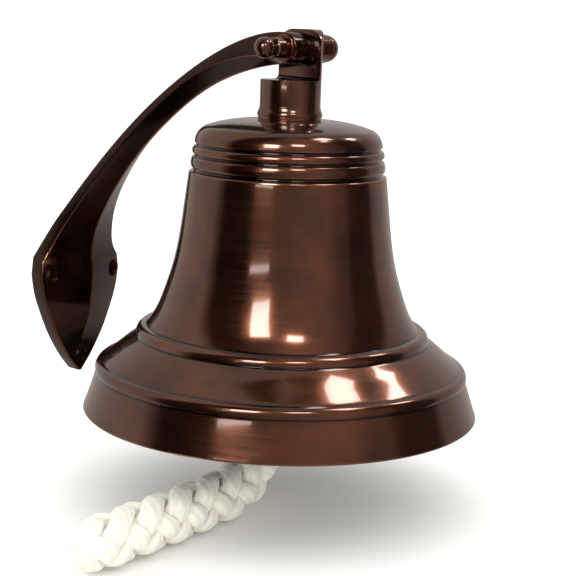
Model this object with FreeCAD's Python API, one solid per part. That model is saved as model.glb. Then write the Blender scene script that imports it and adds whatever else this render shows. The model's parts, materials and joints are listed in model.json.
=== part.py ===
"""Ship bell on a cast wall bracket, with a clapper and a braided rope lanyard.

Frame: the origin lies on the wall face, midway between the two upper screw holes.
+X points out of the wall, +Y lies along the hanger pin, +Z is up.  Millimetres.
"""
import FreeCAD, Part
import math
import os
from FreeCAD import Vector

# ---------------------------------------------------------------- driving sizes

# where the bell hangs
reach = 215.0              # wall face to the hanger pin
rise = 170.0               # upper screw holes to the hanger pin

# bell casting
mouth_radius = 127.0       # a 10 inch bell
bell_height = 187.0        # lip to the crown's seat
shoulder_radius = 59.4     # at the first groove
waist_radius = 62.6        # just under the third groove
wall = 4.6                 # waist wall
crown_extra = 1.4          # the crown is this much thicker than the waist
lip_width = 8.5            # flat ring that the bell would stand on
groove_depth = 1.2
groove_width = 2.0

# hanger
stem_radius = 19.2
stem_height = 54.0         # from its foot to the top of the ear
slot_depth = 31.5          # from the top of the ear to the slot's floor
ear_corner_radius = 13.0
slot_corner_radius = 3.0
pin_below_ear_top = 12.0
seat_washer_thickness = 2.0
tail_radius = 6.0
tail_length = 42.0         # threaded tail below the stem's foot

# hanger pin and its fittings
pin_radius = 5.0
pin_running_clearance = 0.05
pin_collar_radius = 6.4
pin_collar_length = 9.5
pin_ball_radius = 6.5
washer_thickness = 1.6
washer_radius = 8.6
acorn_radius = 9.2
acorn_barrel_length = 12.0

# wall bracket
arm_half_width = 7.1
boss_radius = 9.8
arm_to_ear_gap = 0.3
plate_half_width = 36.6
plate_edge = 12.0          # thickness of the plate at its rim
plate_drop = 75.0          # upper screw holes to the plate's lower point
keel_height = 14.0         # how far the keel stands proud of the plate's rim
screw_hole_radius = 3.2
screw_hole_spacing = 56.4
lower_hole_drop = 62.0
spot_face_radius = 6.3
spot_face_depth = 0.5
back_allowance = 0.6       # cast behind the wall face, then faced off flat

# clamp nuts and clapper
crown_washer_radius = 16.0
crown_washer_thickness = 2.5
crown_nut_flats = 19.0
crown_nut_height = 9.0
lock_nut_height = 6.0
nut_gap = 4.0              # bare thread between the crown nut and the lock nut
clevis_radius = 11.0
clevis_leg_length = 18.0
clevis_top_height = 14.0
clapper_pin_radius = 3.0
clapper_pin_clearance = 0.05
clapper_eye_thickness = 8.0
clevis_side_gap = 0.25
clapper_rod_radius = 3.8
clapper_top_eye_radius = 7.5
ball_radius = 20.0
ball_height = 33.0         # ball centre above the lip
rope_eye_radius = 9.0
rope_eye_hole_radius = 5.2
rope_eye_thickness = 7.0
rope_eye_below_ball = 33.0  # ball centre to the middle of the rope eye

# lanyard
braid_radius = 16.5
loop_cord_radius = 3.6
loop_half_width = 10.0
whipping_radius = 15.0

# ---------------------------------------------------------------- worked-out places

pin_z = rise
ear_top_z = pin_z + pin_below_ear_top
stem_foot_z = ear_top_z - stem_height
crown_z = stem_foot_z - seat_washer_thickness
lip_z = crown_z - bell_height
slot_floor_z = ear_top_z - slot_depth
ear_face_y = arm_half_width + arm_to_ear_gap
ear_seat_y = stem_radius - 2.2

nut_washer_z = crown_z - wall - crown_extra
crown_nut_top_z = nut_washer_z - crown_washer_thickness
lock_nut_top_z = crown_nut_top_z - crown_nut_height - nut_gap
clevis_top_z = lock_nut_top_z - lock_nut_height
clapper_pivot_z = clevis_top_z - clevis_top_height - 0.55 * clevis_leg_length
ball_z = lip_z + ball_height
rope_eye_z = ball_z - rope_eye_below_ball

X_AXIS = Vector(1, 0, 0)
Y_AXIS = Vector(0, 1, 0)
Z_AXIS = Vector(0, 0, 1)

# ---------------------------------------------------------------- helpers


def cylinder(radius, length, base, axis):
    """A cylinder that starts at base and runs along axis."""
    return Part.makeCylinder(radius, length, base, axis)


def box(x0, x1, y0, y1, z0, z1):
    """A block between two corners."""
    return Part.makeBox(x1 - x0, y1 - y0, z1 - z0, Vector(x0, y0, z0))


def line(a, b):
    return Part.LineSegment(a, b).toShape()


def arc(a, middle, b):
    return Part.Arc(a, middle, b).toShape()


def spline(points):
    """A smooth curve through the points."""
    curve = Part.BSplineCurve()
    curve.interpolate(points)
    return curve.toShape()


def revolved(edges, centre, axis):
    """A solid of revolution from the edges of one closed outline."""
    return Part.Face(Part.Wire(edges)).revolve(centre, axis, 360)


def bell_point(radius, height):
    """A point of the bell's section: distance from its axis, height above the lip."""
    return Vector(reach + radius, 0, lip_z + height)


def hex_nut(flats, height, bore_radius, base):
    """A hexagon nut with chamfered corners, its lower face at base."""
    corner_radius = flats / math.sqrt(3)
    corners = []
    for i in range(7):
        angle = math.radians(60 * i)
        corners.append(base + Vector(corner_radius * math.cos(angle), corner_radius * math.sin(angle), 0))
    prism = Part.Face(Part.makePolygon(corners)).extrude(Vector(0, 0, height))
    chamfer = 0.12 * flats
    lower_cone = Part.makeCone(corner_radius - chamfer * 0.6, corner_radius + chamfer, chamfer, base, Z_AXIS)
    upper_cone = Part.makeCone(corner_radius + chamfer, corner_radius - chamfer * 0.6, chamfer,
                               base + Vector(0, 0, height - chamfer), Z_AXIS)
    middle = cylinder(corner_radius + chamfer, height - 2 * chamfer, base + Vector(0, 0, chamfer), Z_AXIS)
    limits = lower_cone.fuse([middle, upper_cone])
    nut = prism.common(limits)
    return nut.cut(cylinder(bore_radius, height, base, Z_AXIS))


def write(name, shape):
    """Write one node as a STEP file, and say what it holds."""
    solids = shape.Solids
    node = solids[0] if len(solids) == 1 else Part.makeCompound(solids)
    node.exportStep("parts/" + name + ".step")
    print("%-20s solids %d  valid %s  volume %9.1f mm3" % (name, len(solids), node.isValid(), node.Volume))


# ---------------------------------------------------------------- wall bracket


def bezier(points, t):
    """The point and the unit tangent of a cubic Bezier curve at t."""
    a, b, c, d = points
    u = 1 - t
    place = a * u**3 + b * (3 * u * u * t) + c * (3 * u * t * t) + d * t**3
    tangent = (b - a) * (3 * u * u) + (c - b) * (6 * u * t) + (d - c) * (3 * t * t)
    return place, tangent.normalize()


def house_section(place, tangent, half_width, edge, ridge):
    """A five-sided section: flat back, two upright edges, and a V that ends in the keel."""
    inward = Vector(tangent.z, 0, -tangent.x)
    corners = [place - Y_AXIS * half_width,
               place + Y_AXIS * half_width,
               place + Y_AXIS * half_width + inward * edge,
               place + inward * ridge,
               place - Y_AXIS * half_width + inward * edge]
    corners.append(corners[0])
    return Part.makePolygon(corners)


def plate_sections():
    """Level sections of the leaf-shaped plate, from its lower point upwards.

    Each row is a share of the drop below the screw holes, a share of the half width,
    and a share of the keel's height."""
    rows = [(1.00, 0.05, 0.03), (0.96, 0.12, 0.03), (0.85, 0.30, 0.03), (0.72, 0.47, 0.10),
            (0.54, 0.665, 0.46), (0.35, 0.825, 0.75), (0.17, 0.945, 0.91), (0.00, 1.00, 1.00)]
    for drop, width, keel in rows:
        place = Vector(-back_allowance, 0, -drop * plate_drop)
        edge = plate_edge + back_allowance
        yield house_section(place, Z_AXIS, width * plate_half_width, edge, edge + keel * keel_height)


def arm_sections():
    """Sections of the arm, square to its back, from the plate to the boss.

    Each row is the place along the back's curve, the half width, the height of the upright
    edge, and the whole depth to the keel."""
    back = [Vector(-back_allowance, 0, 12),
            Vector(8, 0, 64),
            Vector(reach - 77, 0, pin_z + boss_radius + 4.2),
            Vector(reach, 0, pin_z + boss_radius)]
    foot_edge = plate_edge + back_allowance
    rows = [(0.00, 0.96 * plate_half_width, foot_edge, foot_edge + 0.96 * keel_height),
            (0.07, 0.80 * plate_half_width, 0.90 * plate_edge, plate_edge + 0.76 * keel_height),
            (0.15, 0.655 * plate_half_width, 9.6, 19.0),
            (0.30, 15.8, 7.6, 15.6),
            (0.45, 12.0, 6.3, 14.2),
            (0.60, 9.8, 5.4, 15.2),
            (0.75, 8.2, 7.0, 18.8),
            (0.88, arm_half_width + 0.2, 12.5, 21.5),
            (1.00, arm_half_width, 16.0, 2 * boss_radius)]
    for t, half_width, edge, ridge in rows:
        place, tangent = bezier(back, t)
        yield house_section(place, tangent, half_width, edge, ridge)


def wall_bracket():
    """One casting: leaf-shaped plate, keel, arm and boss, drilled for the screws and the pin."""
    sections = list(plate_sections()) + list(arm_sections())
    body = Part.makeLoft(sections, True, False)
    body = body.cut(box(-10, 0, -2 * plate_half_width, 2 * plate_half_width, -2 * plate_drop, 2 * plate_drop))
    boss = cylinder(boss_radius, 2 * arm_half_width, Vector(reach, -arm_half_width, pin_z), Y_AXIS)
    body = body.fuse(boss).removeSplitter()
    body = body.cut(cylinder(pin_radius, 4 * arm_half_width, Vector(reach, -2 * arm_half_width, pin_z), Y_AXIS))
    holes = [(-0.5 * screw_hole_spacing, 0), (0.5 * screw_hole_spacing, 0), (0, -lower_hole_drop)]
    seat_x = plate_edge - spot_face_depth
    for y, z in holes:
        body = body.cut(cylinder(screw_hole_radius, 60, Vector(-10, y, z), X_AXIS))
        body = body.cut(cylinder(spot_face_radius, 30, Vector(seat_x, y, z), X_AXIS))
    return body


# ---------------------------------------------------------------- hanger pin


def hanger_pin():
    """Ball end, neck, collar and shank, turned in one piece about the pin's axis."""
    collar_inner_y = -arm_half_width - washer_thickness
    collar_outer_y = collar_inner_y - pin_collar_length
    neck_length = 1.6
    ball_y = collar_outer_y - neck_length - 0.8 * pin_ball_radius
    shank_end_y = ear_seat_y + pin_running_clearance + washer_thickness + acorn_barrel_length
    shank = cylinder(pin_radius, shank_end_y - collar_inner_y, Vector(reach, collar_inner_y, pin_z), Y_AXIS)
    collar = cylinder(pin_collar_radius, pin_collar_length, Vector(reach, collar_outer_y, pin_z), Y_AXIS)
    collar = collar.makeChamfer(0.8, collar.Edges)
    neck = cylinder(0.65 * pin_ball_radius, collar_outer_y - ball_y, Vector(reach, ball_y, pin_z), Y_AXIS)
    ball = Part.makeSphere(pin_ball_radius, Vector(reach, ball_y, pin_z))
    return shank.fuse([collar, neck, ball]).removeSplitter()


def pin_washer(y):
    """A flat washer on the hanger pin, its near face at y."""
    ring = cylinder(washer_radius, washer_thickness, Vector(reach, y, pin_z), Y_AXIS)
    return ring.cut(cylinder(pin_radius, washer_thickness, Vector(reach, y, pin_z), Y_AXIS))


def pin_acorn_nut():
    """Round barrel with a domed end, threaded on the pin's far end."""
    base_y = ear_seat_y + pin_running_clearance + washer_thickness
    barrel = cylinder(acorn_radius, acorn_barrel_length, Vector(reach, base_y, pin_z), Y_AXIS)
    dome = Part.makeSphere(acorn_radius, Vector(reach, base_y + acorn_barrel_length, pin_z))
    nut = barrel.fuse(dome).removeSplitter()
    return nut.cut(cylinder(pin_radius, acorn_barrel_length, Vector(reach, base_y, pin_z), Y_AXIS))


# ---------------------------------------------------------------- hanger stem


def hanger_stem():
    """Turned post with a flared foot and a threaded tail, cut back so that one ear is left."""
    foot = Vector(reach, 0, stem_foot_z)
    flare_radius = stem_radius + 1.4
    outline = [line(foot, foot + Vector(flare_radius, 0, 0)),
               line(foot + Vector(flare_radius, 0, 0), foot + Vector(flare_radius, 0, 2)),
               arc(foot + Vector(flare_radius, 0, 2), foot + Vector(stem_radius + 0.3, 0, 4.5),
                   foot + Vector(stem_radius, 0, 8)),
               line(foot + Vector(stem_radius, 0, 8), foot + Vector(stem_radius, 0, stem_height)),
               line(foot + Vector(stem_radius, 0, stem_height), foot + Vector(0, 0, stem_height)),
               line(foot + Vector(0, 0, stem_height), foot)]
    post = revolved(outline, foot, Z_AXIS)

    # the lap: everything above the floor on the arm's side of the ear face
    side = 2 * stem_radius
    lap = box(reach - side, reach + side, -side, ear_face_y, slot_floor_z, ear_top_z + 5)
    inner_edges = [e for e in lap.Edges
                   if abs(e.CenterOfMass.y - ear_face_y) < 0.01 and abs(e.CenterOfMass.z - slot_floor_z) < 0.01]
    post = post.cut(lap.makeFillet(slot_corner_radius, inner_edges))

    # the ear's rounded top corners, and a flat seat for the washer
    corner_z = ear_top_z - ear_corner_radius
    for sign in (-1, 1):
        corner_x = reach + sign * (stem_radius - ear_corner_radius)
        far_x = reach + sign * side
        corner = box(min(corner_x, far_x), max(corner_x, far_x), -side, side, corner_z, ear_top_z + 5)
        rounding = cylinder(ear_corner_radius, 2 * side, Vector(corner_x, -side, corner_z), Y_AXIS)
        post = post.cut(corner.cut(rounding))
    post = post.cut(cylinder(washer_radius + 1, side, Vector(reach, ear_seat_y, pin_z), Y_AXIS))
    bore = pin_radius + pin_running_clearance
    post = post.cut(cylinder(bore, 2 * side, Vector(reach, -side, pin_z), Y_AXIS))

    tail = cylinder(tail_radius, tail_length + 2, Vector(reach, 0, stem_foot_z + 2), -Z_AXIS)
    return post.fuse(tail).removeSplitter()


def ring(outer, inner, thickness, base_z):
    """A flat ring round the bell's axis."""
    base = Vector(reach, 0, base_z)
    return cylinder(outer, thickness, base, Z_AXIS).cut(cylinder(inner, thickness, base, Z_AXIS))


# ---------------------------------------------------------------- bell


def groove(radius, height):
    """A turned groove in the bell's section, and the points where it starts and ends."""
    half = 0.5 * groove_width
    top = bell_point(radius, height + half)
    bottom = bell_point(radius, height - half)
    return top, bottom, arc(top, bell_point(radius - groove_depth, height), bottom)


def bell_shell():
    """The bell casting: crown, three shoulder grooves, waist, two beads, skirt and lip."""
    h = bell_height
    r = mouth_radius
    s = shoulder_radius
    top1, bottom1, groove1 = groove(s, h - 16.8)
    top2, bottom2, groove2 = groove(s + 1.0, h - 23.4)
    top3, bottom3, groove3 = groove(s + 1.7, h - 32.3)
    waist_top = bell_point(waist_radius, h - 34.2)
    upper_bead = [bell_point(r - 39.5, 0.294 * h),
                  bell_point(r - 34.4, 0.294 * h - 1.4),
                  bell_point(r - 33.2, 0.294 * h - 6.2)]
    lower_bead = [bell_point(r - 12.0, 0.171 * h),
                  bell_point(r - 8.1, 0.171 * h - 2.4),
                  bell_point(r - 8.0, 0.171 * h - 7.0)]
    crown_under = h - wall - crown_extra
    lip_inner = r - 1.2 - lip_width
    seat_edge = stem_radius + 2

    outer = [line(bell_point(tail_radius, h), bell_point(seat_edge, h)),
             arc(bell_point(seat_edge, h), bell_point(s - 20.5, h - 1.6), bell_point(s - 6.4, h - 5.4)),
             arc(bell_point(s - 6.4, h - 5.4), bell_point(s - 1.9, h - 9.5), top1),
             groove1,
             arc(bottom1, bell_point(s + 1.3, h - 20), top2),
             groove2,
             arc(bottom2, bell_point(s + 2.2, h - 27.8), top3),
             groove3,
             line(bottom3, waist_top),
             spline([waist_top,
                     bell_point(waist_radius + 2.4, h - 53.6),
                     bell_point(waist_radius + 8.4, 0.509 * h),
                     bell_point(r - 50.2, 0.407 * h),
                     bell_point(r - 44.3, 0.332 * h),
                     upper_bead[0]]),
             arc(*upper_bead),
             spline([upper_bead[2],
                     bell_point(r - 26.8, 0.236 * h),
                     bell_point(r - 19.4, 0.203 * h),
                     lower_bead[0]]),
             arc(*lower_bead),
             arc(lower_bead[2], bell_point(r - 4.4, 0.072 * h), bell_point(r, 1.2)),
             line(bell_point(r, 1.2), bell_point(r - 1.2, 0))]
    inner = [line(bell_point(r - 1.2, 0), bell_point(lip_inner, 0)),
             spline([bell_point(lip_inner, 0),
                     bell_point(r - 14.4 - wall, 0.136 * h),
                     bell_point(r - 29 - wall, 0.206 * h),
                     bell_point(r - 39.5 - wall, 0.266 * h),
                     bell_point(r - 51.5 - wall, 0.385 * h),
                     bell_point(waist_radius + 7.2 - wall, 0.509 * h),
                     bell_point(waist_radius + 2.2 - wall, h - 53.6),
                     bell_point(s - 0.6 - wall, h - 26)]),
             arc(bell_point(s - 0.6 - wall, h - 26), bell_point(s - 7 - wall, h - 12.5),
                 bell_point(s - 19 - wall, crown_under)),
             line(bell_point(s - 19 - wall, crown_under), bell_point(tail_radius, crown_under)),
             line(bell_point(tail_radius, crown_under), bell_point(tail_radius, h))]
    return revolved(outer + inner, Vector(reach, 0, lip_z), Z_AXIS)


# ---------------------------------------------------------------- clapper


def clapper_clevis():
    """Round fork, threaded on the tail, with a slot across X and a hole for the pin."""
    height = clevis_top_height + clevis_leg_length
    base = Vector(reach, 0, clevis_top_z - height)
    body = cylinder(clevis_radius, height, base, Z_AXIS)
    body = body.makeChamfer(1.2, [e for e in body.Edges if e.Closed])
    half_slot = 0.5 * clapper_eye_thickness + clevis_side_gap
    body = body.cut(box(reach - half_slot, reach + half_slot, -20, 20,
                        base.z - 1, clevis_top_z - clevis_top_height))
    tail_end_z = stem_foot_z - tail_length
    body = body.cut(cylinder(tail_radius, clevis_top_z - tail_end_z, Vector(reach, 0, tail_end_z), Z_AXIS))
    return body.cut(cylinder(clapper_pin_radius, 60, Vector(reach - 30, 0, clapper_pivot_z), X_AXIS))


def clapper_pin():
    """Headed pin across the fork."""
    head = cylinder(clapper_pin_radius + 1.8, 2, Vector(reach - clevis_radius - 2, 0, clapper_pivot_z), X_AXIS)
    shank = cylinder(clapper_pin_radius, 2 * clevis_radius + 4, Vector(reach - clevis_radius, 0, clapper_pivot_z),
                     X_AXIS)
    return head.fuse(shank).removeSplitter()


def clapper_pin_clip():
    """Snap ring on the pin's plain end."""
    base = Vector(reach + clevis_radius + 0.6, 0, clapper_pivot_z)
    clip = cylinder(clapper_pin_radius + 1.6, 1, base, X_AXIS)
    return clip.cut(cylinder(clapper_pin_radius, 1, base, X_AXIS))


def clapper_rod():
    """Flat eye and round rod, down into the ball."""
    pivot = Vector(reach, 0, clapper_pivot_z)
    half = 0.5 * clapper_eye_thickness
    eye = cylinder(clapper_top_eye_radius, clapper_eye_thickness, pivot - X_AXIS * half, X_AXIS)
    rod = cylinder(clapper_rod_radius, clapper_pivot_z - ball_z, pivot, -Z_AXIS)
    hole = cylinder(clapper_pin_radius + clapper_pin_clearance, 30, pivot - X_AXIS * 15, X_AXIS)
    return eye.fuse(rod).removeSplitter().cut(hole)


def clapper_ball():
    """Turned ball, bored from above for the rod and from below for the rope eye."""
    centre = Vector(reach, 0, ball_z)
    ball = Part.makeSphere(ball_radius, centre)
    ball = ball.cut(cylinder(clapper_rod_radius, 2 * ball_radius, centre, Z_AXIS))
    return ball.cut(cylinder(clapper_rod_radius - 0.5, 2 * ball_radius, centre - Z_AXIS * 2, -Z_AXIS))


def clapper_eye():
    """Eye with a shank, screwed up into the ball; its hole lies along X."""
    middle = Vector(reach, 0, rope_eye_z)
    half = 0.5 * rope_eye_thickness
    eye = cylinder(rope_eye_radius, rope_eye_thickness, middle - X_AXIS * half, X_AXIS)
    eye = eye.makeChamfer(1.0, [e for e in eye.Edges if e.Closed])
    shank = cylinder(clapper_rod_radius - 0.5, ball_z - 2 - rope_eye_z, middle, Z_AXIS)
    hole = cylinder(rope_eye_hole_radius, 20, middle - X_AXIS * 10, X_AXIS)
    return eye.fuse(shank).removeSplitter().cut(hole)


# ---------------------------------------------------------------- lanyard

# the braid's route from the eye of the clapper: out of the eye, down to the surface
# just under the mouth, and along it; offsets from the middle of the rope eye
first_bend = Vector(4.5, -31, -36)
lanyard_drop = Vector(first_bend).normalize()
loop_length = 19.0
braid_start = 26.0
ROUTE = [lanyard_drop * braid_start,
         first_bend,
         Vector(10, -52, -43.3),
         Vector(14.2, -83, -43),
         Vector(17.5, -114, -43.2),
         Vector(21, -146, -42.8),
         Vector(23.3, -176, -43)]


def rope_eye_point():
    return Vector(reach, 0, rope_eye_z)


def rounded_path(points):
    """Straight runs joined by tangent arcs; each arc is as large as its two runs allow."""
    edges = []
    start = points[0]
    for before, corner, after in zip(points, points[1:], points[2:]):
        first = (corner - before)
        second = (after - corner)
        shorter = min(first.Length, second.Length)
        turn = first.getAngle(second)
        cut = 0.45 * shorter
        radius = cut / math.tan(0.5 * turn)
        first.normalize()
        second.normalize()
        arc_start = corner - first * cut
        arc_end = corner + second * cut
        centre = corner + (second - first).normalize() * (radius / math.cos(0.5 * turn))
        middle = centre + (corner - centre).normalize() * radius
        edges.append(line(start, arc_start))
        edges.append(arc(arc_start, middle, arc_end))
        start = arc_end
        print("  turn %5.1f deg  radius %6.1f mm" % (math.degrees(turn), radius))
    edges.append(line(start, points[-1]))
    return Part.Wire(edges)


def tube(path, radius):
    """A round tube along a path; its volume is compared with section times length."""
    first = path.Edges[0]
    begin = first.valueAt(first.FirstParameter)
    tangent = first.tangentAt(first.FirstParameter)
    profile = Part.Wire(Part.makeCircle(radius, begin, tangent))
    solid = path.makePipeShell([profile], True, False, 0)
    expected = math.pi * radius * radius * path.Length
    print("  tube length %.1f mm, volume / (section x length) %.4f" % (path.Length, solid.Volume / expected))
    return solid


def lanyard_loop():
    """The neck of the lanyard: one cord through the rope eye, both legs down to the whipping."""
    slack = 0.9
    eye = rope_eye_point() + lanyard_drop * slack
    sideways = (X_AXIS - lanyard_drop * lanyard_drop.dot(X_AXIS)).normalize()
    across = sideways * loop_half_width
    foot = lanyard_drop * (loop_length - slack)
    bend = 6.2
    corner = bend * (1 - math.sqrt(0.5))
    edges = [line(eye - across + foot, eye - across + lanyard_drop * bend),
             arc(eye - across + lanyard_drop * bend,
                 eye - sideways * (loop_half_width - corner) + lanyard_drop * corner,
                 eye - sideways * (loop_half_width - bend)),
             line(eye - sideways * (loop_half_width - bend), eye + sideways * (loop_half_width - bend)),
             arc(eye + sideways * (loop_half_width - bend),
                 eye + sideways * (loop_half_width - corner) + lanyard_drop * corner,
                 eye + across + lanyard_drop * bend),
             line(eye + across + lanyard_drop * bend, eye + across + foot)]
    return tube(Part.Wire(edges), loop_cord_radius)


def lanyard_whipping():
    """Wound collar between the loop and the braid."""
    base = rope_eye_point() + lanyard_drop * loop_length
    collar = cylinder(whipping_radius, braid_start - loop_length, base, lanyard_drop)
    return collar.makeChamfer(1.5, [e for e in collar.Edges if e.Closed])


def lanyard_braid():
    """The braid's outer shape along its route."""
    return tube(rounded_path([rope_eye_point() + p for p in ROUTE]), braid_radius)


def lanyard_end_knot():
    """Rounded closed end of the braid."""
    length = 0.7 * braid_radius
    sphere_radius = 0.5 * (braid_radius**2 + length**2) / length
    cap = Part.makeSphere(sphere_radius, Vector(0, 0, length - sphere_radius))
    cap = cap.common(cylinder(2 * braid_radius, length + 1, Vector(0, 0, 0), Z_AXIS))
    along = ROUTE[-1] - ROUTE[-2]
    cap.Placement = FreeCAD.Placement(rope_eye_point() + ROUTE[-1], FreeCAD.Rotation(Z_AXIS, along))
    return cap


# ---------------------------------------------------------------- build

os.makedirs("parts", exist_ok=True)

write("wall_bracket", wall_bracket())
write("hanger_pin", hanger_pin())
write("pin_head_washer", pin_washer(-arm_half_width - washer_thickness))
write("pin_nut_washer", pin_washer(ear_seat_y + pin_running_clearance))
write("pin_acorn_nut", pin_acorn_nut())
write("hanger_stem", hanger_stem())
write("stem_seat_washer", ring(stem_radius + 0.9, tail_radius, seat_washer_thickness, crown_z))
write("bell_shell", bell_shell())
write("crown_washer", ring(crown_washer_radius, tail_radius, crown_washer_thickness,
                           nut_washer_z - crown_washer_thickness))
write("crown_nut", hex_nut(crown_nut_flats, crown_nut_height, tail_radius,
                           Vector(reach, 0, crown_nut_top_z - crown_nut_height)))
write("clevis_lock_nut", hex_nut(crown_nut_flats, lock_nut_height, tail_radius,
                                 Vector(reach, 0, lock_nut_top_z - lock_nut_height)))
write("clapper_clevis", clapper_clevis())
write("clapper_pin", clapper_pin())
write("clapper_pin_clip", clapper_pin_clip())
write("clapper_rod", clapper_rod())
write("clapper_ball", clapper_ball())
write("clapper_eye", clapper_eye())
write("lanyard_loop", lanyard_loop())
write("lanyard_whipping", lanyard_whipping())
write("lanyard_braid", lanyard_braid())
write("lanyard_end_knot", lanyard_end_knot())
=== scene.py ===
# %% [markdown]
# # A ship bell on its wall bracket
# The bell is a thin bronze casting, turned on a lathe, browned and lacquered.  It hangs from a
# cast bracket by a short post and a pin, and a rope pull of plaited cotton hangs from its
# clapper.  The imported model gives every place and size; this file gives the looks.

# %% Load the fixed frame
import json
import math

import bmesh
import bpy
import numpy as np
from mathutils import Matrix, Vector


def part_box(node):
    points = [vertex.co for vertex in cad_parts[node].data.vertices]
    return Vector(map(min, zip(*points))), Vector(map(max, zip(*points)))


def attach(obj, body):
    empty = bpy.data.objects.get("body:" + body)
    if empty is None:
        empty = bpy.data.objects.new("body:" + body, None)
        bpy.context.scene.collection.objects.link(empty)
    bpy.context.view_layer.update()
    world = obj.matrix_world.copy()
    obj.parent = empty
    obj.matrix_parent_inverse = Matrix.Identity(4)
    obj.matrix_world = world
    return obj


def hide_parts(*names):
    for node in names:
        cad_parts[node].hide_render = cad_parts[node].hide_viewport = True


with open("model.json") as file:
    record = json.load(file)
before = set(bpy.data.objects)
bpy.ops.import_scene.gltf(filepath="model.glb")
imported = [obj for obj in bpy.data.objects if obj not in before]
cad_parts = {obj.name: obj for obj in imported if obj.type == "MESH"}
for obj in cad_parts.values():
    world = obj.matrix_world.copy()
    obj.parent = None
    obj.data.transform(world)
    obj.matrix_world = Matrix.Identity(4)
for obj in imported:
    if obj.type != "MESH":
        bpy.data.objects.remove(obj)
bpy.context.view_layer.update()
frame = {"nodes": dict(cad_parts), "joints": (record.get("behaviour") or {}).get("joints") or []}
MM = 0.001

# %% Places that many pieces share
seat_low, seat_high = (np.array(p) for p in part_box("stem_seat_washer"))
bell_low, bell_high = (np.array(p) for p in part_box("bell_shell"))
joints = {joint["name"]: joint for joint in frame["joints"]}
pin_place = np.array(joints["bell_swing"]["pos_m"])
rope_eye = np.array(joints["lanyard_swing"]["pos_m"])
bell_axis = np.array([0.5 * (seat_low[0] + seat_high[0]), 0.0, 0.0])
lip_z = bell_low[2]
bell_height = bell_high[2] - lip_z
mouth_radius = 0.5 * (bell_high[0] - bell_low[0])
floor_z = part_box("lanyard_braid")[0].z
print("mouth", round(2 * mouth_radius, 3), "m, floor at", round(floor_z, 4), "m")

# %% [markdown]
# ## Camera
# The view comes from the front and to one side, a little above the mouth, from about 0.9 m.

# %% Camera
view_azimuth = math.radians(42)
view_pitch = math.radians(10.58)
view_roll = math.radians(2.05)
camera_data = bpy.data.cameras.new("camera")
camera_data.sensor_width = 36
camera_data.lens = 87.5
camera = bpy.data.objects.new("camera", camera_data)
bpy.context.scene.collection.objects.link(camera)
turn = Matrix.Rotation(view_azimuth, 4, "Z") @ Matrix.Rotation(math.pi / 2 - view_pitch, 4, "X")
place = Vector((bell_axis[0], 0, lip_z + 0.2442))
place += 0.8839 * Vector((math.sin(view_azimuth), -math.cos(view_azimuth), 0))
place += 0.0028 * Vector((math.cos(view_azimuth), math.sin(view_azimuth), 0))
camera.matrix_world = Matrix.Translation(place) @ turn @ Matrix.Rotation(view_roll, 4, "Z")
bpy.context.scene.camera = camera


# %% [markdown]
# ## Curves and outlines
# Most of the metal is turned, so a piece is an outline swept once round an axis.  An outline
# is put together from straight runs, arcs and smooth curves, and then evened out, with more
# points where it bends and its sharp corners softened, as buffing leaves them.

# %% Curve helpers
def smooth_curve(points, count):
    """A natural cubic spline through the points, by its second derivatives at each knot."""
    p = np.asarray(points, float)
    knots = np.concatenate([[0], np.cumsum(np.linalg.norm(np.diff(p, axis=0), axis=1))])
    h = np.diff(knots)
    n = len(p)
    matrix = np.eye(n)
    right = np.zeros_like(p)
    for i in range(1, n - 1):
        matrix[i, i - 1:i + 2] = h[i - 1], 2 * (h[i - 1] + h[i]), h[i]
        right[i] = 6 * ((p[i + 1] - p[i]) / h[i] - (p[i] - p[i - 1]) / h[i - 1])
    second = np.linalg.solve(matrix, right)
    at = np.linspace(0, knots[-1], count)
    i = np.clip(np.searchsorted(knots, at, side="right") - 1, 0, n - 2)
    a = ((knots[i + 1] - at) / h[i])[:, None]
    b = 1 - a
    bend = ((a**3 - a) * second[i] + (b**3 - b) * second[i + 1]) * (h[i] ** 2)[:, None] / 6
    return a * p[i] + b * p[i + 1] + bend


def arc(a, middle, b, count=16):
    """Points on the circle through three points, from a to b."""
    a, m, b = (np.asarray(p, float) for p in (a, middle, b))
    rows = 2 * np.array([m - a, b - a])
    centre = np.linalg.solve(rows, [m @ m - a @ a, b @ b - a @ a])
    start, via, end = (math.atan2(*(p - centre)[::-1]) for p in (a, m, b))
    turn_to = (end - start) % (2 * math.pi)
    if (via - start) % (2 * math.pi) > turn_to:
        turn_to -= 2 * math.pi
    angle = start + turn_to * np.linspace(0, 1, count)
    return centre + np.linalg.norm(a - centre) * np.stack([np.cos(angle), np.sin(angle)], 1)


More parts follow.
